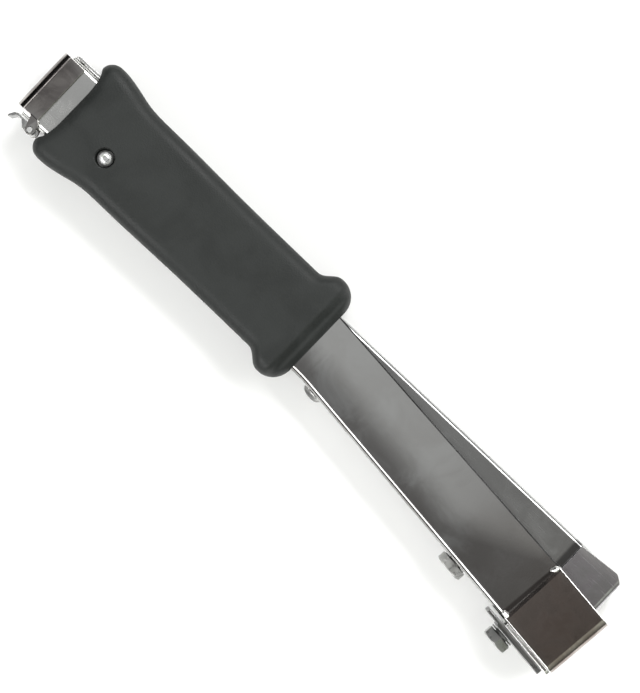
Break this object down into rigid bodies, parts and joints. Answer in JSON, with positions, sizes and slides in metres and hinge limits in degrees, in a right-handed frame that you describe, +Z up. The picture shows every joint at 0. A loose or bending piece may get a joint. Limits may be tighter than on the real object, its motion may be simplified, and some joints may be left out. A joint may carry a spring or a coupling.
{
  "type": "hammer tacker",
  "caption": "Hand-swung hammer tacker with a rubber grip, a folded steel frame and a hinged staple magazine, lying on its side.",
  "frame": {"origin": "on the surface that the tool lies on, under the middle of its bounding box", "axes": "+X from the butt to the striking head, +Y the way the tool strikes, +Z up out of the side that faces up"},
  "size_m": [0.3226, 0.0654, 0.03],
  "materials": {
    "nickel_plate": "bright nickel plate, slightly mottled",
    "cover_plate": "bright nickel plate",
    "grip_rubber": "satin moulded",
    "spring_steel": "blued spring steel",
    "bolt_steel": "zinc plated",
    "machined_steel": "machined"
  },
  "bodies": {
    "frame": {"frame_channel": "nickel_plate", "grip": "grip_rubber", "head_cover": "cover_plate", "hammer_block": "machined_steel", "driver_blade": "spring_steel", "driver_pin": "machined_steel", "back_plate": "nickel_plate", "clamp_plate": "nickel_plate", "lock_washer": "bolt_steel", "head_bolt": "bolt_steel", "pivot_pin": "bolt_steel", "pivot_collar": "bolt_steel", "return_leaf": "spring_steel", "leaf_rivet": "bolt_steel"},
    "magazine": {"magazine_channel": "nickel_plate", "core_rail": "nickel_plate", "tail_bracket": "nickel_plate", "heel_strip": "nickel_plate", "heel_rivet": "bolt_steel", "nose_shell": "nickel_plate", "nose_guide": "machined_steel", "stop_bridge": "machined_steel", "stop_bolt": "bolt_steel", "pivot_bush": "machined_steel"},
    "feeder": {"feed_cap": "nickel_plate", "rod_block": "machined_steel", "feed_rod": "machined_steel", "rod_tip": "machined_steel", "feed_spring": "spring_steel", "latch_pin": "bolt_steel"},
    "pusher": {"pusher": "machined_steel"},
    "latch": {"latch_lever": "nickel_plate", "latch_spring": "spring_steel"}
  },
  "joints": [
    {"name": "magazine_swing", "type": "hinge", "parent": "frame", "child": "magazine", "pos_m": [-0.11908, 0.00094, 0.015], "axis": [0, 0, 1], "range_deg": [-2.75, 0], "stiffness_Nm_per_rad": 40, "springref_deg": 5.73, "deforming": ["return_leaf"]},
    {"name": "feeder_slide", "type": "slide", "parent": "magazine", "child": "feeder", "axis": [-0.9999, -0.0105, 0], "range_m": [0, 0.18]},
    {"name": "pusher_slide", "type": "slide", "parent": "feeder", "child": "pusher", "axis": [-0.9999, -0.0105, 0], "range_m": [0, 0.105], "stiffness_N_per_m": 60, "springref_m": -0.1, "deforming": ["feed_spring"]},
    {"name": "latch_lift", "type": "hinge", "parent": "feeder", "child": "latch", "pos_m": [-0.14965, -0.01198, 0.015], "axis": [0, 0, 1], "range_deg": [0, 26], "stiffness_Nm_per_rad": 0.05, "springref_deg": -17.19, "deforming": ["latch_spring"]}
  ]
}
